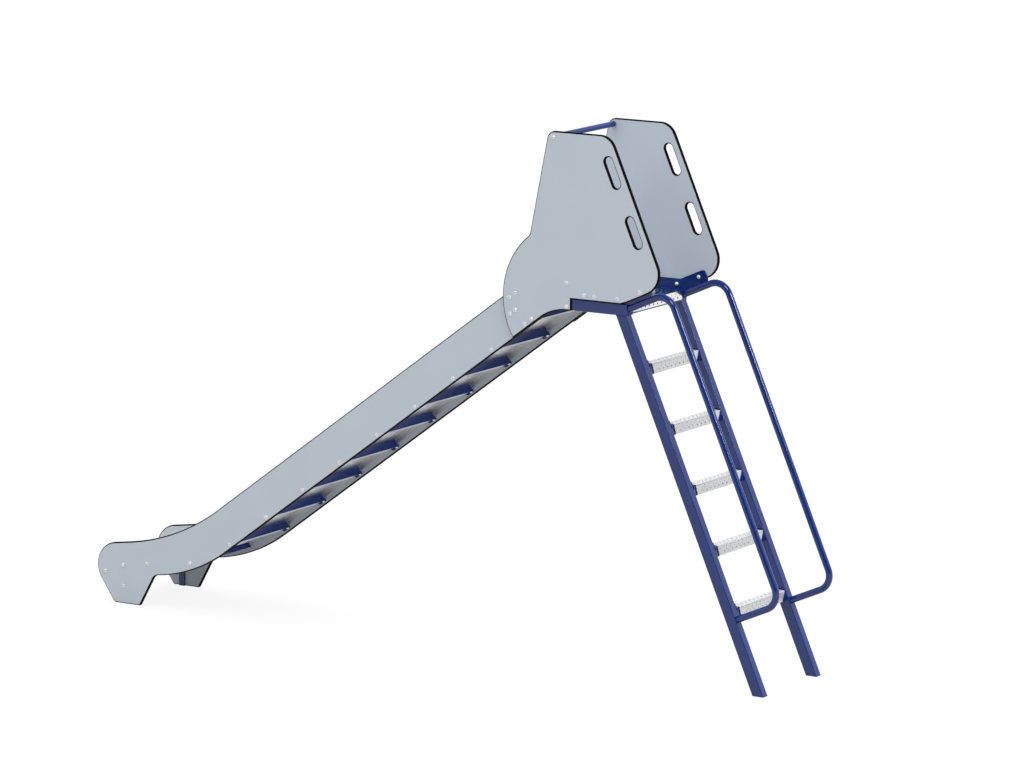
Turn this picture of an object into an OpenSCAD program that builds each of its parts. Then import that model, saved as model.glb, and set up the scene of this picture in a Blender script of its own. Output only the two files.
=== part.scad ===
// Free-standing slide with a ladder, a small platform and a laminate hood.
// The exit foot's front corner is x = 0 while the pieces are drawn. Every piece is then moved so that the
// origin lies in the middle of the footprint, on the ground. +X points from the exit towards the ladder.

/* [Platform] */
// Height of the platform above the ground
platform_h = 1607.5; // [1305:0.5:1905]
// Length of the platform beams
platform_len = 272.5; // [240:0.5:340]
// Side of the square platform beams
beam_size = 50; // [40:1:60]
// Wall of the beams and the stringers
tube_wall = 3; // [2:0.5:4]
// Gap between the chute's upper end and the beams
beam_gap = 4; // [2:1:10]
// Height of the plate that stands on each beam
upstand_h = 43; // [36:1:60]
// Thickness of the plate that stands on each beam
upstand_t = 5; // [3:0.5:6]
// Length of the standing plate's rising end
upstand_reach = 130; // [100:1:150]
// Height of the deck's folded edges
deck_fold = 39; // [30:1:45]
// Distance of the frame's outer faces inside the hood's
frame_inset = 7.5; // [4:0.5:12]

/* [Chute] */
// Clear width between the side panels
chute_w = 432; // [380:2:560]
// Thickness of the side and hood panels
panel_t = 18; // [15:1:20]
// Angle of the sliding part
slope_angle = 36.1; // [31:0.1:39]
// Angle of the run-out
runout_angle = 6; // [3:0.5:8]
// Length of the run-out, up to the bend's corner
runout_len = 454; // [410:1:620]
// Height of the sliding face at the exit
exit_h = 191; // [170:0.5:220]
// Thickness of the bed sheet
bed_t = 2; // [1.5:0.5:3]
// Radius of the bed where the slope runs out
bed_low_r = 500; // [400:10:560]
// Radius of the bed where it leaves the platform
bed_top_r = 250; // [150:10:290]
// Length of the level bed, up to the platform
bed_level = 105; // [98:1:140]
// Radius of the rolled exit edge
roll_r = 60; // [50:1:64]
// Distance of the rolled edge ahead of the foot
roll_reach = 68; // [60:1:74]
// Height of the bed's folded side flanges
bed_flange = 20; // [14:1:20]

/* [Side panels] */
// Height of the panels above the bed, square to it
side_above = 128; // [100:1:160]
// Depth of the panels below the bed, square to it
side_below = 49; // [48:1:60]
// Distance of the upper edge's bend ahead of the bed's bend
rim_lead = 97; // [80:1:120]
// Angle of the upper edge over the run-out
rim_angle = 8.2; // [6:0.1:10]
// Angle of the lower edge behind the foot
under_angle = 7.5; // [5:0.1:9]
// Radius of the upper edge's bend
rim_r = 1100; // [900:10:1200]
// Radius of the lower edge's bend
under_r = 800; // [700:10:860]
// Radius of the nose around the exit
nose_r = 110; // [90:1:115]
// Length of the foot on the ground
foot_w = 142; // [110:1:150]
// Angle of the foot's front edge
foot_front = 55.2; // [50:0.1:60]
// Angle of the foot's rear edge
foot_rear = 60.5; // [55:0.1:70]
// Radius between the foot and the lower edge
foot_r = 35; // [20:1:38]
// Radius of the lower edge's bend below the platform
under_top_r = 220; // [150:5:230]
// Height of the panels' upper ends above the platform
side_top = 115; // [100:1:130]

/* [Hood] */
// Height of the hood above the platform
hood_h = 710; // [600:5:800]
// Distance of the hood's front edge ahead of the beams, at the top
hood_front = 114; // [80:1:140]
// Lean of the hood's front edge from upright
hood_lean = 11.7; // [8:0.1:14]
// Radius of the hood's round lower front
hood_round = 340; // [320:1:350]
// Radius between the round lower front and the front edge
hood_throat = 35; // [20:1:60]
// Radius of the upper front corner
hood_front_r = 40; // [20:1:60]
// Radius of the upper rear corner
hood_rear_r = 80; // [40:1:100]
// Radius of the lower rear corner
hood_low_r = 90; // [50:1:100]
// Distance of the hood's rear edge from the stringers' front face
hood_rear = 231.5; // [200:0.5:250]
// Distance from the beams' rear end back to where the lower edge rises
lip_back = 23.5; // [15:0.5:60]
// Width of the grip slots
slot_w = 40; // [30:1:50]
// Overall length of the grip slots
slot_len = 139; // [110:1:170]
// Distance of the slots' centreline from the rear edge
slot_inset = 53; // [40:1:60]
// Distance of the upper slot's centre from the upper rear corner
slot_top = 147; // [130:1:200]
// Distance between the two slots' centres
slot_spacing = 268; // [230:1:300]
// Diameter of the guard bar
bar_d = 25; // [20:1:35]
// Distance of the guard bar's centre below the hood's top
bar_drop = 25; // [20:1:60]
// Distance of the guard bar's centre behind the front edge
bar_back = 28; // [24:1:60]

/* [Cross members] */
// Thickness of the folded members
member_t = 3; // [2:0.5:3]
// Width of the members' flanges
member_flange = 20; // [15:1:25]
// Length at each end where the flanges are cut away
member_relief = 38; // [32:1:60]
// Thickness of the end tabs
tab_t = 4; // [3:0.5:4]
// Distance of the first straight member from the bed's bend, along the slope
member_first = 210.5; // [200:0.5:280]
// Distance of the last member from the top of the slope, along the slope
member_last = 154; // [140:1:170]
// Height of the members' bolts above the panels' lower edge
member_bolt_n = 18.5; // [18:0.5:18.5]
// Place of the member on the curve, as the bed's angle there
curve_member_angle = 17.3; // [14:0.1:20]
// Distance of that member's bolts below the bed
curve_member_drop = 18; // [16:1:20]
// Distance of the exit tie behind the foot's front corner
exit_tie_x = 185; // [150:1:220]
// Distance of the exit tie's bolts below the bed
exit_tie_drop = 12; // [11:0.5:14]
// Gap between the members and the bed
member_gap = 0.3; // [0.1:0.1:1]

/* [Exit posts] */
// Width of the posts
post_w = 28; // [24:1:36]
// Thickness of the posts
post_t = 8; // [6:1:10]
// Distance of the posts' centreline behind the foot's front corner
post_x = 52; // [45:1:70]
// Height of the posts
post_h = 189; // [180:1:190]
// Heights of the posts' two bolts
post_bolts = [80.5, 176.5];

/* [Ladder] */
// Lean of the ladder from upright
ladder_lean = 23.55; // [18:0.05:27]
// Depth of the stringers, square to the ladder
stringer_d = 50; // [40:1:60]
// Width of the stringers
stringer_w = 40; // [30:1:45]
// Height of one step
step_rise = 249; // [200:1:280]
// Depth of the treads
tread_d = 46; // [42:1:60]
// Height of the treads' front folded edge
tread_fold = 47; // [40:1:52]
// Height that the treads' rear folded edge has more than the front one
tread_back = 6; // [0:1:10]
// Thickness of the perforated sheet
tread_t = 2; // [1.5:0.5:3]
// Distance of the treads' front edge ahead of the stringers
tread_ahead = 7; // [0:1:15]
// Gap between the treads and the stringers
tread_gap = 17; // [12:1:25]
// Slant of the folded edges' ends
tread_slant = 17; // [10:1:25]
// Diameter of the large holes
hole_big = 9; // [6:0.5:12]
// Diameter of the small holes
hole_small = 5; // [3:0.5:6]
// Distance between the holes in a row
hole_pitch = 33; // [28:0.5:40]
// Outer radius of the folds in the perforated sheet
fold_r = 4; // [3.5:0.5:6]
// Thickness of the tread brackets
bracket_t = 3; // [2:0.5:4]
// Height of the brackets' side plates above the treads
bracket_up = 14; // [5:1:20]
// Depth of the brackets' side plates below the treads
bracket_down = 3; // [0:1:8]

/* [Handrails] */
// Diameter of the handrails
rail_d = 30; // [25:1:38]
// Wall of the handrails
rail_wall = 2.5; // [2:0.5:3]
// Distance of the handrails from the stringers' front face
rail_out = 224; // [180:1:250]
// Radius of the handrails' bends, at the centreline
rail_bend = 70; // [50:1:90]
// Distance of the upper end's centre below the platform
rail_high = 20.5; // [17:0.5:25]
// Height of the lower end on the stringers
rail_low = 315.5; // [200:0.5:500]

/* [Fasteners] */
// Diameter of the bolts' shanks
bolt_d = 8; // [6:0.5:8]
// Diameter of the holes for the bolts
bolt_hole = 8.5; // [8.3:0.1:9]
// Diameter of the domed heads
head_d = 20; // [16:1:22]
// Height of the domed heads
head_h = 5; // [4:0.5:7]
// Diameter of the domed nuts
nut_d = 17; // [14:0.5:17.5]
// Height of the domed nuts
nut_h = 6; // [5:0.5:8]
// Play between a shank and its nut, on the radius
thread_play = 0.1; // [0.05:0.05:0.2]
// Places of the splice bolts: along the slope from the last member, and above the panel's lower edge
splice_marks = [[-20, 151], [19, 151], [-60, 92], [-28, 92]];
// Distance of the last member's two bolts from its middle
splice_half = 21; // [21:0.5:23]
// Distance of the end bolts from the chute's upper end
end_bolt_inset = 18; // [15:1:30]
// Heights of the end bolts above and below the platform
end_bolt_z = [67, -34];
// Distances of the frame bolts behind the beams' front end
frame_bolt_x = [66, 115, 231];
// Height of the frame bolts above the platform
frame_bolt_z = 20; // [16:1:24]
// Distance of the last frame bolts along the standing plates' rising ends
frame_bolt_reach = 100; // [80:1:110]

/* [Hidden] */
$fn = 48;
arc_tolerance = 0.1;

LEFT = -1;
RIGHT = 1;

laminate_colour = "lightsteelblue";
frame_colour = "darkslateblue";
steel_colour = "silver";
zinc_colour = "gainsboro";

// Half widths, from the middle of the slide outwards
inner_y = chute_w / 2;
side_y = inner_y + panel_t;
hood_y = side_y + panel_t;
frame_y = hood_y - frame_inset;
stringer_y = frame_y - stringer_w;
rail_y = frame_y - stringer_w / 2;
beam_y = frame_y - beam_size;
tread_y = stringer_y - tread_gap;

// Directions: up the slope, square to the slope, up the ladder, and out from the ladder
along = [cos(slope_angle), sin(slope_angle)];
square_up = [-sin(slope_angle), cos(slope_angle)];
climb = [-sin(ladder_lean), cos(ladder_lean)];
out = [cos(ladder_lean), sin(ladder_lean)];

// Key points of the chute, as x and z
bend = [runout_len, exit_h + runout_len * tan(runout_angle)];
top_bend = [bend.x + (platform_h - bend.y) / tan(slope_angle), platform_h];
chute_end = top_bend.x + bed_level;
lower_edge = bend - side_below * square_up;
upper_edge = bend + side_above * square_up;
roll_centre = fillet_centre([roll_x(), 0], [roll_x(), exit_z(roll_x())], bend, roll_r);
curve_centre = fillet_centre([roll_x(), exit_z(roll_x())], bend, top_bend, bed_low_r);

// Key points of the platform and the ladder
beam_x = chute_end + beam_gap;
beam_end = beam_x + platform_len;
beam_low = platform_h - beam_size;
lip_x = beam_end - lip_back;
stringer_top = [beam_end, beam_low];
hood_top = platform_h + hood_h;
hood_corner = meet(stringer_top + hood_rear * out, climb, [0, hood_top], [1, 0]);
hood_heel = meet(stringer_top + hood_rear * out, climb, [lip_x, platform_h], out);
rail_start = [beam_end, platform_h - rail_high];
rail_reach = hundredth(rail_out - (rail_start - stringer_top) * out);
rail_drop = hundredth((rail_start - ladder_face(rail_low)) * climb);
rail_centre = rail_start + (rail_reach - rail_bend) * out - (rail_drop - rail_bend) * climb;

// Marks of the bolts, as x and z
nose_bolt = [-38, 10];
member_span = norm(top_bend - bend) - member_first - member_last;
straight_members = 9;
member_rise = member_bolt_n - side_below;
member_marks = [for (i = [0 : straight_members - 1])
  bend + (member_first + member_span * i / (straight_members - 1)) * along + member_rise * square_up];
last_mark = member_marks[straight_members - 1];
curve_mark = curve_centre
  + (bed_low_r + bed_t + curve_member_drop) * [sin(curve_member_angle), -cos(curve_member_angle)];
exit_tie_mark = [exit_tie_x, exit_z(exit_tie_x) - bed_t / cos(runout_angle) - exit_tie_drop];
nose_mark = roll_centre + nose_bolt;
post_marks = [for (z = post_bolts) [post_x, z]];
chute_marks = concat([nose_mark, exit_tie_mark, curve_mark],
  [for (i = [0 : straight_members - 2]) member_marks[i]]);
pair_marks = [last_mark - splice_half * along, last_mark + splice_half * along];
panel_marks = concat(
  [for (m = splice_marks) last_mark + m.x * along + (m.y - member_bolt_n) * square_up],
  [for (z = end_bolt_z) [chute_end - end_bolt_inset, platform_h + z]]);
frame_marks = concat(
  [for (x = frame_bolt_x) [beam_x + x, platform_h + frame_bolt_z]],
  [[lip_x, platform_h + frame_bolt_z] + frame_bolt_reach * out]);
bar_mark = [hood_front_x(hood_top - bar_drop) + bar_back, hood_top - bar_drop];

// The members' section, with the bolt mark at 0, 0
web_back = 12;
web_foot = -6;
tab_ahead = 31;
tab_half = 6.8;
tab_corner = 5;
pair_tab = 34;

// The nose tie's section, and its tabs around the nose bolts
tie_t = 3;
tie_down = 16;
tie_deep = 34;
tie_clear = 0.3;
tie_below = 9;
nose_tab_w = 26;
nose_tab_ahead = 11;

// The platform tie's section, and its lower edge's height above the beams' lower faces
frame_tie_t = 3;
frame_tie_deep = 30;
frame_tie_low = 4.5;

// Play left where a round tube is welded on
weld_gap = 0.1;

// Shape of the hood's round lower front
round_centre = [beam_x, platform_h] - [4, 15];
front_foot = [hood_front_x(platform_h), platform_h];
front_up = [sin(hood_lean), cos(hood_lean)];
throat_start = front_foot - hood_throat * [front_up.y, -front_up.x] - round_centre;
throat_run = -throat_start * front_up
  + sqrt(pow(throat_start * front_up, 2) - throat_start * throat_start + pow(hood_round + hood_throat, 2));
throat_centre = round_centre + throat_start + throat_run * front_up;
tip_offset = lower_edge - round_centre;
tip_run = -tip_offset * along
  - sqrt(pow(tip_offset * along, 2) - tip_offset * tip_offset + hood_round * hood_round);
tip = lower_edge + tip_run * along;

// Overall length, for the origin
foot_line = [-cos(foot_front), sin(foot_front)];
rim_corner = meet(upper_edge, along, [bend.x - rim_lead, 0], [0, 1]);
rim_line = [cos(rim_angle), sin(rim_angle)];
nose_corner = meet([0, 0], foot_line, rim_corner, rim_line);
nose_centre = fillet_centre([0, 0], nose_corner, rim_corner, nose_r);
min_x = nose_centre.x - nose_r;
max_x = rail_centre.x + rail_bend + rail_d / 2;
middle_x = (min_x + max_x) / 2;

// Kept to hundredths, so that the handrails' lengths meet their bends exactly
function hundredth(v) = round(v * 100) / 100;
function unit(v) = v / norm(v);
function left_of(v) = [-v.y, v.x];
function cross2(a, b) = a.x * b.y - a.y * b.x;
// Point where the line through p along u meets the line through q along v
function meet(p, u, q, v) = p + u * cross2(q - p, v) / cross2(u, v);
// Height of the run-out's sliding face
function exit_z(x) = exit_h + x * tan(runout_angle);
function roll_x() = -roll_reach;
// Front face of the stringers at a height
function ladder_face(z) = [beam_end + (beam_low - z) * tan(ladder_lean), z];
// Front edge of the hood at a height
function hood_front_x(z) = beam_x - hood_front - (hood_top - z) * tan(hood_lean);
function fillet_centre(a, b, c, r) =
  let (u = unit(a - b), v = unit(c - b), half = acos(u * v) / 2)
  b + unit(u + v) * r / sin(half);
// Points on an arc from angle a to angle b, at the tolerance
function arc(centre, r, a, b) =
  let (n = max(2, ceil(abs(b - a) / (2 * acos(1 - arc_tolerance / r)))))
  [for (i = [0:n]) centre + r * [cos(a + (b - a) * i / n), sin(a + (b - a) * i / n)]];
function heading(v) = atan2(v.y, v.x);
function turn(a, b) = (b - a + 540) % 360 - 180;
function corner(a, b, c, r) =
  let (centre = fillet_centre(a, b, c, r),
       u = unit(a - b), v = unit(c - b),
       reach = r / tan(acos(u * v) / 2),
       start = heading(b + u * reach - centre),
       stop = heading(b + v * reach - centre))
  arc(centre, r, start, start + turn(start, stop));
// Open line through points of x, z and radius, with its corners rounded
function rounded_line(p) = [for (i = [0 : len(p) - 1])
  each (i == 0 || i == len(p) - 1 || p[i][2] == 0) ? [[p[i].x, p[i].y]]
    : corner(flat(p[i - 1]), flat(p[i]), flat(p[i + 1]), p[i][2])];
// Closed outline through points of x, z and radius, with its corners rounded
function rounded(p) = [for (i = [0 : len(p) - 1])
  each p[i][2] == 0 ? [flat(p[i])]
    : corner(flat(p[(i + len(p) - 1) % len(p)]), flat(p[i]), flat(p[(i + 1) % len(p)]), p[i][2])];
function flat(p) = [p.x, p.y];
function point(p, r = 0) = [p.x, p.y, r];
function reverse(list) = [for (i = [len(list) - 1 : -1 : 0]) list[i]];
// The same line moved to its right by t, with its radii kept concentric
function moved_right(p, t) = [for (i = [0 : len(p) - 1])
  let (a = flat(p[max(i - 1, 0)]), b = flat(p[i]), c = flat(p[min(i + 1, len(p) - 1)]))
  i == 0 ? point(b - left_of(unit(c - b)) * t)
  : i == len(p) - 1 ? point(b - left_of(unit(b - a)) * t)
  : let (side = sign(cross2(b - a, c - b)),
         u = unit(a - b), v = unit(c - b))
    point(b - side * unit(u + v) * t / sin(acos(u * v) / 2), p[i][2] + side * t)];
// Outline of a folded sheet of thickness t to the right of a line
function sheet(p, t) = concat(rounded_line(p), reverse(rounded_line(moved_right(p, t))));

roll_lip = 22;
bed_end_fold = 30;
bed_end_r = 4;
bed_path = [
  [roll_x(), roll_centre.y - roll_lip, 0],
  [roll_x(), exit_z(roll_x()), roll_r],
  point(bend, bed_low_r),
  point(top_bend, bed_top_r),
  [chute_end, platform_h, bed_end_r],
  [chute_end, platform_h - bed_end_fold, 0]
];

under_corner = meet(lower_edge, along, [bend.x, 0], [0, 1]);
heel_line = [cos(foot_rear), sin(foot_rear)];
foot_corner = meet([foot_w, 0], heel_line, under_corner, [cos(under_angle), sin(under_angle)]);
under_end = meet(lower_edge, along, [0, beam_low], [1, 0]);
panel_top = platform_h + side_top;
foot_tip_r = 8;
end_low_r = 4;
end_top_r = 20;
end_bend_r = 50;
side_outline = [
  [0, 0, foot_tip_r],
  [foot_w, 0, foot_tip_r],
  point(foot_corner, foot_r),
  point(under_corner, under_r),
  point(under_end, under_top_r),
  [chute_end, beam_low, end_low_r],
  [chute_end, panel_top, end_top_r],
  point(meet(upper_edge, along, [0, panel_top], [1, 0]), end_bend_r),
  point(rim_corner, rim_r),
  point(nose_corner, nose_r)
];

lip_r = 6;
throat_turn = heading(throat_centre - round_centre);
hood_outline = concat(
  [for (p = reverse(arc(round_centre, hood_round, throat_turn, heading(tip - round_centre) + 360))) point(p)],
  [for (p = arc(throat_centre, hood_throat, throat_turn - 180, -hood_lean)) point(p)],
  [
    [hood_front_x(hood_top), hood_top, hood_front_r],
    point(hood_corner, hood_rear_r),
    point(hood_heel, hood_low_r),
    [lip_x, platform_h, lip_r],
    [beam_x, platform_h, 0],
    [beam_x, beam_low, 0],
    point(under_end, under_top_r)
  ]);

// The standing plate's rising end rests on the handrail, which is round under it
upstand_x = beam_x + 6;
upstand_start_r = 6;
upstand_tip_r = 16;
upstand_heel_r = 8;
rest_offset = side_y - upstand_t - rail_y;
rest_height = sqrt(pow(rail_d / 2, 2) - pow(rest_offset, 2)) + weld_gap;
rest_line = rail_start + rest_height * climb;
upstand_tip = [lip_x, platform_h + upstand_h] + upstand_reach * out;
upstand_outline = [
  [upstand_x, platform_h, 0],
  [upstand_x, platform_h + upstand_h, upstand_start_r],
  [lip_x, platform_h + upstand_h, 0],
  point(upstand_tip, upstand_tip_r),
  point(meet(upstand_tip, climb, rest_line, out), upstand_heel_r),
  point(meet([beam_end, 0], [0, 1], rest_line, out)),
  [beam_end, platform_h, 0]
];

module at_origin() {
  translate([-middle_x, 0, 0]) children();
}

module on_side(side) {
  mirror([0, side == LEFT ? 1 : 0, 0]) children();
}

// A drawing of x and z, given a thickness from y0 to y1
module plate(y0, y1) {
  translate([0, y1, 0]) rotate([90, 0, 0]) linear_extrude(y1 - y0) children();
}

module round_holes(marks, d) {
  for (m = marks) translate(m) circle(d = d);
}

// A drawing moved to a mark and turned up by an angle
module at_mark(mark, angle) {
  translate(mark) rotate(angle) children();
}

module chute_side(side) {
  color(laminate_colour) at_origin() on_side(side) plate(inner_y, side_y) difference() {
    polygon(rounded(side_outline));
    round_holes(concat(chute_marks, post_marks, pair_marks, panel_marks), bolt_hole);
  }
}

module grip_slot(distance) {
  middle = hood_corner - distance * climb - slot_inset * out;
  half = (slot_len - slot_w) / 2;
  at_mark(middle, 90 + ladder_lean) {
    translate([-half, -slot_w / 2]) square([2 * half, slot_w]);
    translate([-half, 0]) circle(d = slot_w);
    translate([half, 0]) circle(d = slot_w);
  }
}

module hood_panel(side) {
  color(laminate_colour) at_origin() on_side(side) plate(side_y, hood_y) difference() {
    polygon(rounded(hood_outline));
    grip_slot(slot_top);
    grip_slot(slot_top + slot_spacing);
    round_holes(concat(pair_marks, panel_marks, frame_marks, [bar_mark]), bolt_hole);
  }
}

// The bed's side flanges run along the straight slope only
module chute_bed() {
  flange_inset = 80;
  low_end = bed_low_r * tan((slope_angle - runout_angle) / 2) + flange_inset;
  high_end = norm(top_bend - bend) - bed_top_r * tan(slope_angle / 2) - bed_t;
  color(steel_colour) at_origin() union() {
    plate(-inner_y, inner_y) polygon(sheet(bed_path, bed_t));
    for (side = [LEFT, RIGHT]) on_side(side) plate(inner_y - bed_t, inner_y)
      at_mark(bend - bed_t * square_up, slope_angle) translate([low_end, -bed_flange])
        square([high_end - low_end, bed_flange + bed_t / 2]);
  }
}

// A folded member: web, two flanges and an end tab at each panel
module member(mark, angle, rise, tabs, marks) {
  web_y = inner_y - tab_t;
  flange_y = inner_y - member_relief;
  web_front = web_back - member_t;
  top = rise - member_gap;
  color(frame_colour) at_origin() union() {
    plate(-web_y, web_y) at_mark(mark, angle)
      translate([web_front, web_foot]) square([member_t, top - web_foot]);
    plate(-flange_y, flange_y) at_mark(mark, angle) {
      translate([web_back - member_flange, web_foot]) square([member_flange, member_t]);
      translate([web_back - member_flange, top - member_t]) square([member_flange, member_t]);
    }
    for (side = [LEFT, RIGHT]) on_side(side) plate(web_y, inner_y) difference() {
      at_mark(mark, angle) polygon([
        [-tab_ahead, tab_corner - tab_half],
        [-tab_ahead + tab_corner, -tab_half],
        [tabs, -tab_half],
        [tabs, tab_half],
        [-tab_ahead, tab_half]
      ]);
      round_holes(marks, bolt_hole);
    }
  }
}

module cross_member(i) {
  straight_rise = side_below - bed_t - member_bolt_n;
  if (i == 1) member(curve_mark, curve_member_angle, curve_member_drop, web_back, [curve_mark]);
  else if (i == 10) member(last_mark, slope_angle, straight_rise, pair_tab, pair_marks);
  else member(member_marks[i - 2], slope_angle, straight_rise, web_back, [member_marks[i - 2]]);
}

module exit_tie() {
  member(exit_tie_mark, runout_angle, exit_tie_drop * cos(runout_angle), web_back, [exit_tie_mark]);
}

// An angle inside the rolled exit, with an end tab at each panel
module nose_tie() {
  tie_front = roll_x() + bed_t + tie_clear;
  tie_top = nose_mark.y - tab_half - tie_below;
  color(frame_colour) at_origin() union() {
    plate(-inner_y + tab_t, inner_y - tab_t) {
      translate([tie_front, tie_top - tie_t]) square([tie_deep, tie_t]);
      translate([tie_front, tie_top - tie_down]) square([tie_t, tie_down]);
    }
    for (side = [LEFT, RIGHT]) on_side(side) plate(inner_y - tab_t, inner_y) difference() {
      translate([nose_mark.x - nose_tab_ahead, tie_top - tie_t])
        square([nose_tab_w, nose_mark.y + nose_tab_ahead - tie_top + tie_t]);
      round_holes([nose_mark], bolt_hole);
    }
  }
}

module exit_post(side) {
  color(frame_colour) at_origin() on_side(side) plate(inner_y - post_t, inner_y) difference() {
    translate([post_x - post_w / 2, 0]) square([post_w, post_h]);
    round_holes(post_marks, bolt_hole);
  }
}

module guard_bar() {
  socket = 30;
  color(frame_colour) at_origin() difference() {
    plate(-side_y, side_y) translate(bar_mark) circle(d = bar_d);
    for (side = [LEFT, RIGHT]) on_side(side) plate(side_y - socket, side_y + 1)
      translate(bar_mark) circle(d = bolt_d + 2 * thread_play);
  }
}

module platform_frame(side) {
  color(frame_colour) at_origin() on_side(side) union() {
    difference() {
      plate(beam_y, frame_y) translate([beam_x, beam_low]) square([platform_len, beam_size]);
      plate(beam_y + tube_wall, frame_y - tube_wall) translate([beam_x - 1, beam_low + tube_wall])
        square([platform_len + 1 - tube_wall, beam_size - 2 * tube_wall]);
    }
    plate(side_y - upstand_t, side_y) difference() {
      polygon(rounded(upstand_outline));
      round_holes(frame_marks, bolt_hole);
    }
  }
}

// An angle between the beams' rear ends, under the deck
module platform_tie() {
  top = platform_h - tread_t - tie_clear;
  color(frame_colour) at_origin() plate(-beam_y, beam_y) {
    translate([beam_end - frame_tie_t, beam_low + frame_tie_low])
      square([frame_tie_t, top - beam_low - frame_tie_low]);
    translate([beam_end - frame_tie_deep, top - frame_tie_t]) square([frame_tie_deep, frame_tie_t]);
  }
}

// Rows of holes along y, large and small in turn, each at its own distance
module hole_rows(rows, half, depth) {
  columns = floor((half - hole_big) / hole_pitch);
  for (row = rows) {
    shift = row.y == hole_small ? hole_pitch / 2 : 0;
    for (i = [-columns : columns]) let (y = i * hole_pitch + shift)
      if (abs(y) < half - hole_big) translate([row.x, y, 0])
        cylinder(d = row.y, h = depth, center = true, $fn = 24);
  }
}

module platform_deck() {
  deck_x = beam_x + 1;
  front_x = beam_end + 0.5;
  front_t = 3;
  nose = front_x + front_t;
  side_fold = 30;
  side_len = platform_len - frame_tie_deep - 6;
  end_gap = 5;
  first_row = 26;
  row_pitch = 28;
  rows = [for (i = [0:8]) [deck_x + first_row + i * row_pitch, i % 2 == 0 ? hole_big : hole_small]];
  color(zinc_colour) at_origin() difference() {
    union() {
      translate([deck_x, -beam_y, platform_h - tread_t]) cube([nose - deck_x, 2 * beam_y, tread_t]);
      translate([deck_x, -beam_y, platform_h - side_fold]) cube([tread_t, 2 * beam_y, side_fold]);
      for (side = [LEFT, RIGHT]) on_side(side)
        translate([deck_x, beam_y - tread_t, platform_h - side_fold]) cube([side_len, tread_t, side_fold]);
      translate([front_x, end_gap - stringer_y, platform_h - deck_fold])
        cube([front_t, 2 * (stringer_y - end_gap), deck_fold]);
    }
    translate([0, 0, platform_h]) hole_rows(rows, beam_y, 20);
    translate([nose, 0, platform_h]) rotate([0, 90, 0])
      hole_rows([[deck_fold - 11, hole_big], [19, hole_small], [10, hole_small]], stringer_y, 20);
  }
}

module stringer(side) {
  base = 3;
  reach = stringer_d / cos(ladder_lean);
  wall = tube_wall / cos(ladder_lean);
  low = ladder_face(0);
  inside = ladder_face(base);
  high = ladder_face(beam_low + 1);
  color(frame_colour) at_origin() on_side(side) difference() {
    plate(stringer_y, frame_y)
      polygon([low - [reach, 0], low, stringer_top, stringer_top - [reach, 0]]);
    plate(stringer_y + tube_wall, frame_y - tube_wall)
      polygon([inside - [reach - wall, 0], inside - [wall, 0], high - [wall, 0], high - [reach - wall, 0]]);
  }
}

function tread_top(i) = platform_h - (6 - i) * step_rise;
function tread_front(i) = ladder_face(tread_top(i)).x + tread_ahead;

// Tread 1 is the lowest
module tread(i) {
  top = tread_top(i);
  front = tread_front(i);
  deep = tread_fold + tread_back;
  fold_room = 5;
  row_pitch = 11;
  margin = 10;
  path = [
    [front - tread_d, top - deep, 0],
    [front - tread_d, top, fold_r],
    [front, top, fold_r],
    [front, top - tread_fold, 0]
  ];
  color(zinc_colour) at_origin() difference() {
    plate(-tread_y, tread_y) polygon(sheet(path, tread_t));
    for (side = [LEFT, RIGHT]) on_side(side)
      translate([front + 1, 0, top]) rotate([0, -90, 0]) linear_extrude(tread_d + 2)
        polygon([[-deep - 1, tread_y - tread_slant], [-tread_fold, tread_y - tread_slant],
          [-fold_room, tread_y], [-fold_room, tread_y + 1], [-deep - 1, tread_y + 1]]);
    translate([front, 0, top])
      hole_rows([[-margin, hole_small], [-tread_d / 2, hole_big], [margin - tread_d, hole_small]], tread_y, 8);
    translate([front, 0, top]) rotate([0, 90, 0])
      hole_rows([[3 * row_pitch, hole_big], [2 * row_pitch, hole_small], [row_pitch, hole_small]],
        tread_y - tread_slant, 2 * tread_d + 4);
  }
}

// A folded bracket: side plate on the stringer, and a channel that reaches into the tread from below
module bracket(side, i) {
  top = tread_top(i);
  front = tread_front(i);
  shelf = top - tread_t;
  low = top - tread_fold;
  foot = low - bracket_down;
  back = front - tread_d;
  plate_bevel = 8;
  lap = 6;
  slot_y = tread_y - tread_slant;
  shelf_y = slot_y - lap;
  inset = fold_r + 0.1;
  rise_back = tread_ahead + bracket_up * tan(ladder_lean);
  color(frame_colour) at_origin() on_side(side) union() {
    plate(stringer_y - bracket_t, stringer_y) polygon([
      [front, foot],
      [front, top - plate_bevel],
      [front - tread_ahead, top],
      [front - rise_back, top + bracket_up],
      [back, top + bracket_up],
      [back, foot]
    ]);
    plate(shelf_y, stringer_y) translate([back + inset, shelf - bracket_t])
      square([tread_d - 2 * inset, bracket_t]);
    for (x = [back + inset + bracket_t, front - inset]) translate([x, 0, 0])
      rotate([0, -90, 0]) linear_extrude(bracket_t) polygon([
        [foot, slot_y],
        [low + bracket_t, shelf_y],
        [shelf, shelf_y],
        [shelf, stringer_y],
        [foot, stringer_y]
      ]);
  }
}

// A ring-shaped drawing of the handrail's tube
module rail_ring() {
  difference() {
    circle(d = rail_d);
    circle(d = rail_d - 2 * rail_wall);
  }
}

// A quarter bend of handrail about a centre, from an angle
module rail_elbow(centre, start) {
  translate(centre) rotate(start) rotate_extrude(angle = 90) translate([rail_bend, 0]) rail_ring();
}

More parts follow.
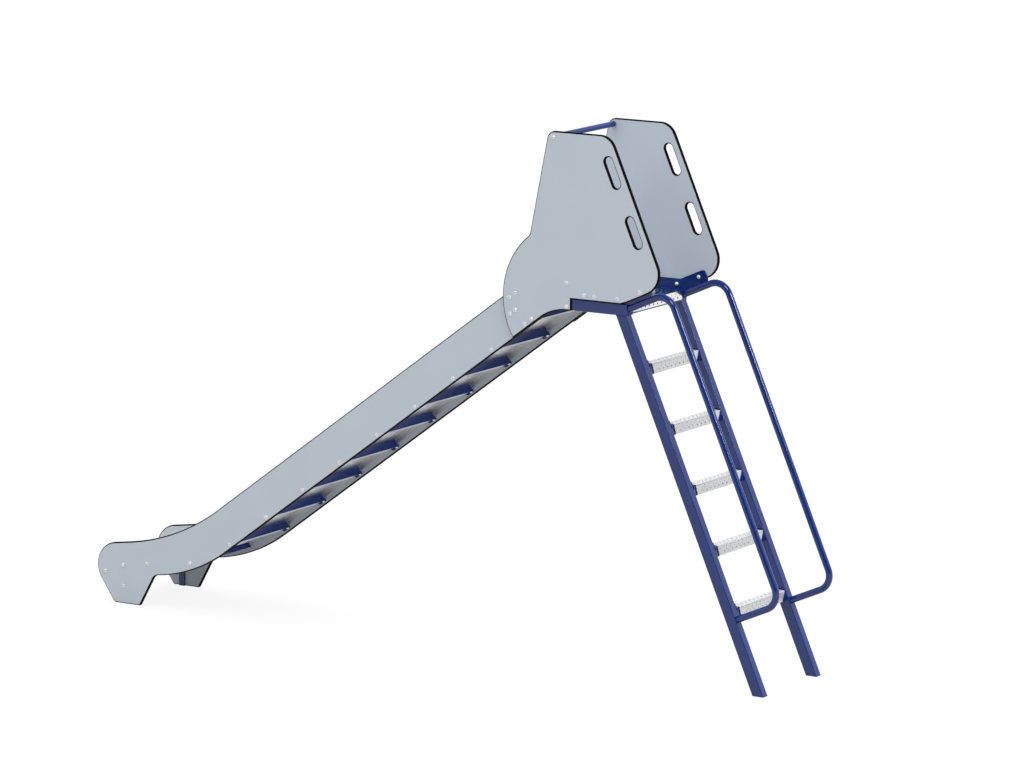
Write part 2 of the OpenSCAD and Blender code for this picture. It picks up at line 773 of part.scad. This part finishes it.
// The handrail is drawn flat, x out from the ladder and y up along it, with its upper end at 0, 0
module handrail(side) {
  straight_x = rail_reach - rail_bend;
  low_y = -rail_drop;
  stub = 20;
  cut = 60;
  color(frame_colour) at_origin() on_side(side) difference() {
    translate([rail_start.x, rail_y, rail_start.y]) rotate([90, -ladder_lean, 0]) union() {
      translate([-stub, 0, 0]) rotate([0, 90, 0]) linear_extrude(straight_x + stub) rail_ring();
      rail_elbow([straight_x, -rail_bend, 0], 0);
      translate([rail_reach, -rail_bend, 0]) rotate([90, 0, 0])
        linear_extrude(rail_drop - 2 * rail_bend) rail_ring();
      rail_elbow([straight_x, low_y + rail_bend, 0], -90);
      translate([rail_reach - rail_out + weld_gap / 2, low_y, 0]) rotate([0, 90, 0])
        linear_extrude(rail_out - weld_gap / 2 - rail_bend) rail_ring();
    }
    translate([beam_end - cut, rail_y - cut / 2, rail_start.y - cut / 2]) cube(cut);
  }
}

// A domed cap on the plane z = 0
module dome(d, h) {
  rim = 1;
  rise = h - rim;
  ball = (d * d / 4 + rise * rise) / (2 * rise);
  cylinder(d = d, h = rim);
  intersection() {
    translate([0, 0, rim + rise - ball]) sphere(ball);
    translate([-d, -d, rim]) cube([2 * d, 2 * d, h]);
  }
}

// A bolt with its head outside at y0 and its nut's seat inside at y1
module bolt(mark, y0, y1) {
  tip_in = 3.5;
  socket_d = 5.8;
  socket_deep = 2.5;
  translate([mark.x, y0, mark.y]) difference() {
    union() {
      rotate([-90, 0, 0]) dome(head_d, head_h);
      rotate([90, 0, 0]) cylinder(d = bolt_d, h = y0 - y1 + tip_in);
    }
    translate([0, head_h - socket_deep, 0]) rotate([-90, 0, 0])
      cylinder(d = socket_d, h = socket_deep + 1, $fn = 6);
  }
}

module dome_nut(mark, y) {
  depth = 4;
  translate([mark.x, y, mark.y]) rotate([90, 0, 0]) difference() {
    dome(nut_d, nut_h);
    translate([0, 0, -1]) cylinder(d = bolt_d + 2 * thread_play, h = depth + 1);
  }
}

module chute_bolts(side) {
  color(steel_colour) at_origin() on_side(side) {
    for (m = chute_marks) bolt(m, side_y, inner_y - tab_t);
    for (m = post_marks) bolt(m, side_y, inner_y - post_t);
  }
}

module chute_nuts(side) {
  color(steel_colour) at_origin() on_side(side) {
    for (m = chute_marks) dome_nut(m, inner_y - tab_t);
    for (m = post_marks) dome_nut(m, inner_y - post_t);
  }
}

module hood_bolts(side) {
  bar_screw = 20;
  color(steel_colour) at_origin() on_side(side) {
    for (m = pair_marks) bolt(m, hood_y, inner_y - tab_t);
    for (m = panel_marks) bolt(m, hood_y, inner_y);
    for (m = frame_marks) bolt(m, hood_y, side_y - upstand_t);
    bolt(bar_mark, hood_y, side_y - bar_screw);
  }
}

module hood_nuts(side) {
  color(steel_colour) at_origin() on_side(side) {
    for (m = pair_marks) dome_nut(m, inner_y - tab_t);
    for (m = panel_marks) dome_nut(m, inner_y);
    for (m = frame_marks) dome_nut(m, side_y - upstand_t);
  }
}

chute_side(LEFT);  // chute_side_left
chute_side(RIGHT);  // chute_side_right
chute_bed();
hood_panel(LEFT);  // hood_panel_left
hood_panel(RIGHT);  // hood_panel_right
guard_bar();
for (i = [1:10]) cross_member(i);
exit_tie();
nose_tie();
exit_post(LEFT);  // exit_post_left
exit_post(RIGHT);  // exit_post_right
platform_frame(LEFT);  // platform_frame_left
platform_frame(RIGHT);  // platform_frame_right
platform_tie();
platform_deck();
stringer(LEFT);  // stringer_left
stringer(RIGHT);  // stringer_right
for (i = [1:5]) tread(i);
for (i = [1:5]) bracket(LEFT, i);
for (i = [1:5]) bracket(RIGHT, i);
handrail(LEFT);  // handrail_left
handrail(RIGHT);  // handrail_right
chute_bolts(LEFT);  // chute_bolts_left
chute_bolts(RIGHT);  // chute_bolts_right
chute_nuts(LEFT);  // chute_nuts_left
chute_nuts(RIGHT);  // chute_nuts_right
hood_bolts(LEFT);  // hood_bolts_left
hood_bolts(RIGHT);  // hood_bolts_right
hood_nuts(LEFT);  // hood_nuts_left
hood_nuts(RIGHT);  // hood_nuts_right
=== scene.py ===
# Free-standing slide with a laminate hood, a steel platform and a ladder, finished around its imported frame
import math
import bmesh
import bpy
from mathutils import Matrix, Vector


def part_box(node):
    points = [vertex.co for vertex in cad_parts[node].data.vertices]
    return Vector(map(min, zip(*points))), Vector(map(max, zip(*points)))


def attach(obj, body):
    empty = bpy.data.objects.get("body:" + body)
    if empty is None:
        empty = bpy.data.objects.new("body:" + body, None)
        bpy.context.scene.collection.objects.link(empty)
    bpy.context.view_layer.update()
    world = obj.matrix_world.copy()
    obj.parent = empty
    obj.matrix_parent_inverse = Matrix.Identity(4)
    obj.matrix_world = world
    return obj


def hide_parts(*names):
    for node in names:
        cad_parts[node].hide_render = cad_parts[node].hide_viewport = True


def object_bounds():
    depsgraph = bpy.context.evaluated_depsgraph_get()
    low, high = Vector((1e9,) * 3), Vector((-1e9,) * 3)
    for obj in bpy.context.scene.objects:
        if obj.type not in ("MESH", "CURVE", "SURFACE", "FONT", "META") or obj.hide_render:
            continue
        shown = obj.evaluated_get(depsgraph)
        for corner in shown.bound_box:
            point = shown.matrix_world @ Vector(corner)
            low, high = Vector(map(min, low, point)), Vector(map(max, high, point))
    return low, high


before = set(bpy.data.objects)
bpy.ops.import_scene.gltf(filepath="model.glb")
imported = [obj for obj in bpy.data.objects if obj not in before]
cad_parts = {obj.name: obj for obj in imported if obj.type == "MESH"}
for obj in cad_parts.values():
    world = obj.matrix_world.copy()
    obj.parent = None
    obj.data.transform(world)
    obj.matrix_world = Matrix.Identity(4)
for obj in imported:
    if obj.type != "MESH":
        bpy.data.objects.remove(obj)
cadLow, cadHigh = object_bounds()
mm = 0.001
print("frame loaded:", len(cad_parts), "nodes")


# sRGB hex to the linear colour that shaders take
def colour(hexCode):
    parts = [int(hexCode[i:i + 2], 16) / 255 for i in (0, 2, 4)]
    return [*(c / 12.92 if c <= 0.04045 else ((c + 0.055) / 1.055) ** 2.4 for c in parts), 1]


# One node, with the outputs that feed it, its fixed inputs and its settings
def addNode(tree, kind, links=None, inputs=None, **settings):
    node = tree.nodes.new("ShaderNode" + kind)
    for name, value in settings.items():
        setattr(node, name, value)
    for socket, value in (inputs or {}).items():
        node.inputs[socket].default_value = value
    for socket, (source, output) in (links or {}).items():
        tree.links.new(source.outputs[output], node.inputs[socket])
    return node


# Texture scale at which one feature of the pattern is that many millimetres
def scaleFor(featureMm):
    return 1000 / featureMm


# Material with a shader on its surface, and the object's own coordinates for its patterns
def startMaterial(name, **sockets):
    material = bpy.data.materials.new(name)
    material.use_nodes = True
    tree = material.node_tree
    tree.nodes.clear()
    shader = addNode(tree, "BsdfPrincipled", inputs=sockets)
    addNode(tree, "OutputMaterial", {"Surface": (shader, "BSDF")})
    return material, tree, shader, (addNode(tree, "TexCoord"), "Object")


# Soft noise with features of that many millimetres
def addNoise(tree, place, featureMm, detail=2):
    return addNode(tree, "TexNoise", {"Vector": place}, {"Scale": scaleFor(featureMm), "Detail": detail})


# A ramp between two values or colours, over a stretch of the pattern
def addRamp(tree, source, low, high, start=0.3, end=0.7):
    ramp = addNode(tree, "ValToRGB", {"Fac": source})
    first, last = ramp.color_ramp.elements
    first.position, last.position = start, end
    first.color = low if isinstance(low, list) else [low, low, low, 1]
    last.color = high if isinstance(high, list) else [high, high, high, 1]
    return ramp


# Leads a pattern's tone, gloss and relief into the shader
def feed(tree, shader, tone, gloss, bump=None):
    tree.links.new(tone.outputs["Color"], shader.inputs["Base Color"])
    tree.links.new(gloss.outputs["Color"], shader.inputs["Roughness"])
    if bump:
        tree.links.new(bump.outputs["Normal"], shader.inputs["Normal"])


laminateLook = {
    "ior": 1.5,
    "face": "bbc5d1",          # light blue grey decor
    "faceDeep": "b8c2ce",
    "faceGloss": (0.36, 0.46),
    "cloudMm": 260,            # soft change of tone across a panel
    "cloudDetail": 3,
    "grainMm": 3.5,            # real grain is 0.4 mm, drawn coarser so that it shows
    "grainDepth": 0.00006,
    "grainStrength": 0.4,
    "core": "020202",          # phenolic core, black all through
    "coreWorn": "050506",
    "coreGloss": (0.62, 0.75),
    "coreSheen": 0.05,         # a milled core hardly mirrors
    "plyMm": 1.2,              # paper layers in the core, drawn at twice their spacing
    "plyBands": 6,             # bands that the wave pattern draws in one unit of its scale
    "plyWaver": 1.5,
}


# High-pressure laminate: a satin decor paper under resin, pressed on a finely grained plate
def makeLaminate():
    look = laminateLook
    material, tree, shader, place = startMaterial("compactLaminateFace", IOR=look["ior"])
    cloud = addNoise(tree, place, look["cloudMm"], look["cloudDetail"])
    tone = addRamp(tree, (cloud, "Fac"), colour(look["faceDeep"]), colour(look["face"]))
    grain = addNoise(tree, place, look["grainMm"])
    gloss = addRamp(tree, (grain, "Fac"), *look["faceGloss"])
    bump = addNode(tree, "Bump", {"Height": (grain, "Fac")},
                   {"Strength": look["grainStrength"], "Distance": look["grainDepth"]})
    feed(tree, shader, tone, gloss, bump)
    return material


# The milled edge of the same board: pressed kraft paper, matt black with a trace of its layers
def makeCore():
    look = laminateLook
    material, tree, shader, place = startMaterial(
        "compactLaminateCore", **{"IOR": look["ior"], "Specular IOR Level": look["coreSheen"]})
    plies = addNode(tree, "TexWave", {"Vector": place},
                    {"Scale": scaleFor(look["plyMm"]) / look["plyBands"], "Distortion": look["plyWaver"], "Detail": 2},
                    bands_direction="Y")
    tone = addRamp(tree, (plies, "Fac"), colour(look["core"]), colour(look["coreWorn"]))
    gloss = addRamp(tree, (plies, "Fac"), *look["coreGloss"])
    feed(tree, shader, tone, gloss)
    return material


coatLook = {
    "ior": 1.5,
    "blue": "08286a",
    "blueLight": "0b2c70",
    "patchMm": 90,             # slow change of tone, from uneven film
    "gloss": (0.08, 0.14),
    "peelMm": 4,               # orange peel, drawn at twice its real size
    "peelDepth": 0.00008,
    "peelStrength": 0.5,
}


# Polyester powder coat over galvanised steel: deep blue, glossy, with a slight orange peel
def makePowderCoat():
    look = coatLook
    material, tree, shader, place = startMaterial("bluePowderCoat", IOR=look["ior"])
    patch = addNoise(tree, place, look["patchMm"])
    tone = addRamp(tree, (patch, "Fac"), colour(look["blue"]), colour(look["blueLight"]))
    peel = addNoise(tree, place, look["peelMm"], 1)
    gloss = addRamp(tree, (peel, "Fac"), *look["gloss"])
    bump = addNode(tree, "Bump", {"Height": (peel, "Fac")},
                   {"Strength": look["peelStrength"], "Distance": look["peelDepth"]})
    feed(tree, shader, tone, gloss, bump)
    return material


stainlessLook = {
    "sheet": "e0dfdd",
    "sheetDeep": "dbdad8",
    "sheetGloss": (0.25, 0.31),
    # Flange tones darker than the sheet's: painted shade from under the bed
    "flange": "cccdd0",
    "flangeDeep": "c3c4c7",
    "flangeGloss": (0.5, 0.6),
    "streakMm": 2.5,           # rolling and polishing lines, drawn four times as wide as real ones
    "streakLengthMm": 700,
    "streakDetail": 3,
    "fastener": "e2e5ea",
    "fastenerDeep": "d5d8dd",
    "fastenerGloss": (0.36, 0.44),
    "fastenerMetal": 0.55,     # a dull skin of handling and weather covers the rest
    "markMm": 3,
}


# Stainless sheet with fine lines from rolling: clear reflections on the bed, and a duller gloss on its flanges, whose
# darker tone is painted shade
def makeStainlessSheet(name, tone):
    look = stainlessLook
    material, tree, shader, place = startMaterial(name, Metallic=1)
    along, across = scaleFor(look["streakLengthMm"]), scaleFor(look["streakMm"])
    drawn = addNode(tree, "Mapping", {"Vector": place}, {"Scale": (along, across, along)})
    streaks = addNode(tree, "TexNoise", {"Vector": (drawn, "Vector")}, {"Scale": 1, "Detail": look["streakDetail"]})
    tones = addRamp(tree, (streaks, "Fac"), colour(look[tone + "Deep"]), colour(look[tone]))
    gloss = addRamp(tree, (streaks, "Fac"), *look[tone + "Gloss"])
    feed(tree, shader, tones, gloss)
    return material


# Cold-headed stainless bolts and cap nuts: bright, a little blurred by handling
def makeStainlessFastener():
    look = stainlessLook
    material, tree, shader, place = startMaterial("coldHeadedStainless", Metallic=look["fastenerMetal"])
    marks = addNoise(tree, place, look["markMm"])
    tone = addRamp(tree, (marks, "Fac"), colour(look["fastenerDeep"]), colour(look["fastener"]))
    gloss = addRamp(tree, (marks, "Fac"), *look["fastenerGloss"])
    feed(tree, shader, tone, gloss)
    return material


zincLook = {
    "spangleMm": 14,           # zinc crystals
    "bloomMm": 2,
    "bloomDepth": 0.00003,
    "bloomStrength": 0.2,
}

# Tread folds painted darker as shade and tread tops painted lighter as light from above, on one zinc, and the clean
# deck
weatheredZinc = {"tones": ("bfc1c2", "c8cacb"), "metal": 0.45, "gloss": (0.27, 0.34)}
polishedZinc = {"tones": ("d0d2d3", "d9dadb"), "metal": 0.5, "gloss": (0.3, 0.36)}
brightZinc = {"tones": ("e3e4e5", "eceded"), "metal": 1, "gloss": (0.12, 0.18)}


# Hot-dip galvanised sheet: pale zinc, with crystals that differ a little in tone and gloss
def makeGalvanised(name, finish):
    look = zincLook
    material, tree, shader, place = startMaterial(name, Metallic=finish["metal"])
    crystals = addNode(tree, "TexVoronoi", {"Vector": place}, {"Scale": scaleFor(look["spangleMm"])})
    tone = addRamp(tree, (crystals, "Color"), *(colour(t) for t in finish["tones"]), 0, 1)
    gloss = addRamp(tree, (crystals, "Color"), *finish["gloss"], 0, 1)
    bloom = addNoise(tree, place, look["bloomMm"])
    bump = addNode(tree, "Bump", {"Height": (bloom, "Fac")},
                   {"Strength": look["bloomStrength"], "Distance": look["bloomDepth"]})
    feed(tree, shader, tone, gloss, bump)
    return material


laminateFace = makeLaminate()
laminateCore = makeCore()
powderCoat = makePowderCoat()
stainlessSheet = makeStainlessSheet("rolledStainlessSheet", "sheet")
stainlessFlange = makeStainlessSheet("pickledStainlessFlange", "flange")
stainlessFastener = makeStainlessFastener()
# One tread zinc in a shaded copy for the folds and a lit copy for the tops: painted shade and painted light
zincTread = makeGalvanised("weatheredZincSheet", weatheredZinc)
zincWorn = makeGalvanised("footPolishedZincSheet", polishedZinc)
zincDeck = makeGalvanised("brightZincSheet", brightZinc)
print("materials made")


# Makes one object the only one selected
def pick(piece):
    bpy.ops.object.select_all(action="DESELECT")
    piece.select_set(True)
    bpy.context.view_layer.objects.active = piece


meshCare = {
    "weldMm": 0.01,            # corners this near are one
    "flatDegrees": 0.4,        # faces this near to one plane are one
    "sharpDegrees": 30,        # edges that can be rounded
    "smoothDegrees": 35,       # edges that shade smooth
}


# A welded-up copy of a frame node's mesh, with its flat faces whole, as a start for a finished piece
def copyNode(node, name, *materials):
    piece = bpy.data.objects.new(name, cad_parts[node].data.copy())
    bpy.context.scene.collection.objects.link(piece)
    piece.data.materials.clear()
    pick(piece)
    bpy.ops.mesh.customdata_custom_splitnormals_clear()
    bpy.ops.object.mode_set(mode="EDIT")
    bpy.ops.mesh.select_all(action="SELECT")
    bpy.ops.mesh.remove_doubles(threshold=meshCare["weldMm"] * mm)
    bpy.ops.mesh.dissolve_limited(angle_limit=math.radians(meshCare["flatDegrees"]))
    bpy.ops.object.mode_set(mode="OBJECT")
    for material in materials:
        piece.data.materials.append(material)
    return piece


# Rounds the sharp edges that a test accepts
def roundEdges(piece, widthMm, segments=2, test=lambda edge: True, **settings):
    pick(piece)
    bpy.ops.object.mode_set(mode="EDIT")
    bpy.ops.mesh.select_mode(type="EDGE")
    bpy.ops.mesh.select_all(action="DESELECT")
    bpy.ops.mesh.edges_select_sharp(sharpness=math.radians(meshCare["sharpDegrees"]))
    shape = bmesh.from_edit_mesh(piece.data)
    for edge in shape.edges:
        if edge.select and not test(edge):
            edge.select_set(False)
    bmesh.update_edit_mesh(piece.data)
    bpy.ops.mesh.bevel(offset=widthMm * mm, segments=segments, affect="EDGES", **settings)
    bpy.ops.object.mode_set(mode="OBJECT")


# A test that accepts edges longer than that many millimetres
def longerThan(lengthMm):
    return lambda edge: edge.calc_length() > lengthMm * mm


# Gives each face the first or the second material
def sortFaces(piece, isSecond):
    for face in piece.data.polygons:
        face.material_index = 1 if isSecond(face) else 0


# Shades a finished piece smooth but for its flat faces, and hands it to the frame
def settle(piece, node):
    pick(piece)
    bpy.ops.object.shade_smooth_by_angle(angle=math.radians(meshCare["smoothDegrees"]))
    bpy.ops.object.modifier_add(type="WEIGHTED_NORMAL")
    piece.modifiers[-1].keep_sharp = True
    bpy.ops.object.modifier_apply(modifier=piece.modifiers[-1].name)
    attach(piece, "root")
    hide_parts(node)


panelCut = {
    "roundMm": 5.2,            # milled round on every outer edge and grip slot
    "segments": 4,
    "holeEdgeMm": 0.8,         # shorter edges belong to the bolt holes, which stay sharp
    "sideways": 0.9,           # a face that looks across more than this is one of the board's two faces
    "flat": 0.999,
}


# A laminate board: decor on its two faces, black core on its milled edges
def makePanel(node, name):
    piece = copyNode(node, name, laminateFace, laminateCore)
    sortFaces(piece, lambda face: abs(face.normal.y) <= panelCut["sideways"])
    isLong = longerThan(panelCut["holeEdgeMm"])

    def isRim(edge):
        return isLong(edge) and edge.link_faces[0].material_index != edge.link_faces[1].material_index

    roundEdges(piece, panelCut["roundMm"], panelCut["segments"], isRim, material=1, clamp_overlap=False)
    sortFaces(piece, lambda face: abs(face.normal.y) <= panelCut["flat"])    # the round cuts through the decor
    settle(piece, node)


for side in ("Left", "Right"):
    makePanel("chute_side_" + side.lower(), "chutePanel" + side)
    makePanel("hood_panel_" + side.lower(), "hoodPanel" + side)
print("laminate panels made")


bedCut = {
    "edgeMm": 0.6,             # cut and folded edges, broken for sliding on
    "sideways": 0.9,           # a face that looks across more than this belongs to a flange
}
bed = copyNode("chute_bed", "slideBed", stainlessSheet, stainlessFlange)
# Flange faces take the darker stainless, which is painted shade
sortFaces(bed, lambda face: abs(face.normal.y) > bedCut["sideways"])
roundEdges(bed, bedCut["edgeMm"])
settle(bed, "chute_bed")
print("bed made")


steelCut = {
    "sheetMm": 0.7,            # cut edges of sheet and plate, softened by the coat
    "sheetFromMm": 1.2,        # shorter edges belong to holes and bends
    "tubeMm": 4,               # outer corners of the square and flat tubes
    "tubeSegments": 3,
    "tubeFromMm": 200,         # shorter edges aren't a tube's long corners
    "tubeEndFromMm": 2,        # shorter edges belong to the corners' own rounds
    "nearMm": 0.01,
}


# A piece of coated steel sheet, with its edges softened
def makeSheetSteel(node, name):
    piece = copyNode(node, name, powderCoat)
    roundEdges(piece, steelCut["sheetMm"], test=longerThan(steelCut["sheetFromMm"]))
    settle(piece, node)


sheetSteel = {f"cross_member_{i}": f"crossMember{i}" for i in range(1, 11)}
sheetSteel.update({"exit_tie": "exitTie", "nose_tie": "noseTie", "platform_tie": "platformTie"})
for side in ("Left", "Right"):
    low = side.lower()
    sheetSteel["exit_post_" + low] = "exitPost" + side
    sheetSteel.update({f"bracket_{low}_{i}": f"treadBracket{side}{i}" for i in range(1, 6)})
for node, name in sheetSteel.items():
    makeSheetSteel(node, name)
print("sheet steel made")


# Coated box section: the long outer corners are rounded first, then the rest
def makeTubeSteel(node, name):
    piece = copyNode(node, name, powderCoat)
    low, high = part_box(node)
    isLong = longerThan(steelCut["tubeFromMm"])

    def isCorner(edge):
        offSides = [min(abs(v.co.y - low[1]), abs(v.co.y - high[1])) for v in edge.verts]
        return max(offSides) < steelCut["nearMm"] * mm and isLong(edge)

    roundEdges(piece, steelCut["tubeMm"], steelCut["tubeSegments"], isCorner)
    roundEdges(piece, steelCut["sheetMm"], test=longerThan(steelCut["tubeEndFromMm"]))
    settle(piece, node)


for side in ("Left", "Right"):
    makeTubeSteel("stringer_" + side.lower(), "stringer" + side)
    makeTubeSteel("platform_frame_" + side.lower(), "platformFrame" + side)
print("box sections made")


treadCut = {
    "edgeMm": 0.4,             # burrs taken off the cut edges
    "holeEdgeMm": 1.5,         # shorter edges belong to the punched holes
    "upward": 0.5,             # a face that looks up more than this is trodden on
}


# A folded, perforated tread: its top takes the lighter zinc as painted light, its folds the darker zinc as painted
# shade
def makeTread(node, name):
    piece = copyNode(node, name, zincTread, zincWorn)
    roundEdges(piece, treadCut["edgeMm"], test=longerThan(treadCut["holeEdgeMm"]))
    sortFaces(piece, lambda face: face.normal.z > treadCut["upward"])
    settle(piece, node)


for i in range(1, 6):
    makeTread(f"tread_{i}", f"tread{i}")
print("treads made")


# Frame nodes whose shape is already right only get their finish
for node in ("handrail_left", "handrail_right", "guard_bar"):
    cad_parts[node].data.materials[0] = powderCoat
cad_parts["platform_deck"].data.materials[0] = zincDeck
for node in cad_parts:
    if "bolts" in node or "nuts" in node:
        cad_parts[node].data.materials[0] = stainlessFastener
print("kept nodes finished")


# Is 1 for rays that a shiny or clear surface sends on
def addMirrored(tree, rays):
    return addNode(tree, "Math", {0: (rays, "Is Glossy Ray"), 1: (rays, "Is Transmission Ray")}, operation="MAXIMUM")


floorLook = {
    "size": 160,
    "tone": "999691",
    "glow": 0.87,              # what the camera sees of the floor without its shading
    "shade": 0.09,             # share of the floor's shading that the camera sees
}


# Pale studio floor that fades into the background and keeps a faint shadow
def makeFloor():
    bpy.ops.object.select_all(action="DESELECT")
    bpy.ops.mesh.primitive_plane_add(size=floorLook["size"])
    floor = bpy.context.object
    floor.name = "studioFloor"
    material = bpy.data.materials.new("paintedStudioFloor")
    material.use_nodes = True
    tree = material.node_tree
    tree.nodes.clear()
    rays = addNode(tree, "LightPath")
    paint = addNode(tree, "BsdfDiffuse", inputs={"Color": colour(floorLook["tone"])})
    seen = addNode(tree, "BsdfDiffuse", inputs={"Color": [floorLook["shade"]] * 3 + [1]})
    glow = addNode(tree, "Emission", inputs={"Strength": floorLook["glow"]})
    lit = addNode(tree, "AddShader", {0: (seen, "BSDF"), 1: (glow, "Emission")})
    seenWhite = addNode(tree, "Math", {0: (rays, "Is Camera Ray"), 1: (addMirrored(tree, rays), "Value")},
                        operation="MAXIMUM")
    both = addNode(tree, "MixShader", {0: (seenWhite, "Value"), 1: (paint, "BSDF"), 2: (lit, "Shader")})
    addNode(tree, "OutputMaterial", {"Surface": (both, "Shader")})
    floor.data.materials.append(material)


makeFloor()


lightLook = {
    "horizon": 0.38,           # light from the foot of the walls
    "overhead": 2.5,           # and from the ceiling
    "rise": (-0.1, 0.9),       # heights between which one turns into the other
    "opening": 0.08,           # the studio is open, and dim, where the photographer stands
    "openingTowards": (0.53, -0.83, 0.18),
    "openingEdge": (0.78, 0.94),
    "mirroredEdge": (0.6, 0.88),       # the opening as coats and metal mirror it, which is wider
    "ceiling": 0.3,            # the ceiling as they mirror it
    "ceilingEdge": (0.42, 0.62),
    "softbox": 11,             # and the bright panel that hangs there
    "softboxTowards": (0.387, -0.556, 0.735),
    "softboxEdge": (0.97, 0.985),
    "sidePower": 170,
    "sidePlace": (7.5, -0.6, 4.8),
    "sideSize": 1.8,
}


# Goes from one level to another while the source goes over its edge
def addStep(tree, source, edge, low, high):
    return addNode(tree, "MapRange", {"Value": source},
                   {"From Min": edge[0], "From Max": edge[1], "To Min": low, "To Max": high})


# White studio: bright ceiling, paler walls, a dim open side, and pure white where it is looked at directly
def makeWorld():
    look = lightLook
    world = bpy.data.worlds.new("whiteStudio")
    bpy.context.scene.world = world
    world.use_nodes = True
    tree = world.node_tree
    tree.nodes.clear()
    rays = addNode(tree, "LightPath")
    place = addNode(tree, "TexCoord")
    parts = addNode(tree, "SeparateXYZ", {"Vector": (place, "Generated")})

    def facing(towards):
        return addNode(tree, "VectorMath", {0: (place, "Generated")}, {1: towards}, operation="DOT_PRODUCT"), "Value"

    def combine(operation, first, second):
        return addNode(tree, "Math", {0: first, 1: second}, operation=operation), "Value"

    walls = addStep(tree, (parts, "Z"), look["rise"], look["horizon"], look["overhead"])
    ahead = facing(look["openingTowards"])
    opening = addStep(tree, ahead, look["openingEdge"], 1, look["opening"])
    soft = combine("MULTIPLY", (walls, "Result"), (opening, "Result"))
    darkSide = addStep(tree, ahead, look["mirroredEdge"], 1, look["opening"])
    ceiling = addStep(tree, (parts, "Z"), look["ceilingEdge"], 1, look["ceiling"])
    softbox = addStep(tree, facing(look["softboxTowards"]), look["softboxEdge"], 0, look["softbox"])
    room = combine("MULTIPLY", (darkSide, "Result"), (ceiling, "Result"))
    bright = combine("ADD", room, (softbox, "Result"))
    level = addNode(tree, "Mix", {0: (addMirrored(tree, rays), "Value"), 2: soft, 3: bright})
    seen = addNode(tree, "Mix", {0: (rays, "Is Camera Ray"), 2: (level, 0)}, {3: 1})
    studio = addNode(tree, "Background", {"Strength": (seen, 0)}, {"Color": colour("ffffff")})
    addNode(tree, "OutputWorld", {"Surface": (studio, "Background")})


makeWorld()


# A soft lamp at a place, facing the middle of the object
def addLamp(name, place, size, power):
    lamp = bpy.data.lights.new(name, "AREA")
    lamp.shape = "DISK"
    lamp.size = size
    lamp.energy = power
    holder = bpy.data.objects.new(name, lamp)
    bpy.context.scene.collection.objects.link(holder)
    middle = (cadLow + cadHigh) / 2
    holder.location = place
    holder.rotation_euler = (middle - Vector(place)).to_track_quat("-Z", "Y").to_euler()


addLamp("ladderSideLamp", lightLook["sidePlace"], lightLook["sideSize"], lightLook["sidePower"])


cameraLook = {
    "place": (13.4053, -20.3108, 5.575),
    "azimuth": 32.8285,
    "elevation": 10.3537,
    "lensMm": 200,
    "sensorMm": 36,
    "seesTo": 500,
}
camera = bpy.data.cameras.new("longLens")
camera.lens = cameraLook["lensMm"]
camera.sensor_width = cameraLook["sensorMm"]
camera.clip_end = cameraLook["seesTo"]
cameraHolder = bpy.data.objects.new("longLens", camera)
bpy.context.scene.collection.objects.link(cameraHolder)
cameraHolder.location = cameraLook["place"]
cameraHolder.rotation_euler = (math.radians(90 - cameraLook["elevation"]), 0, math.radians(cameraLook["azimuth"]))
bpy.context.scene.camera = cameraHolder
bpy.context.scene.view_settings.view_transform = "Standard"
print("stage, lamps and camera set")
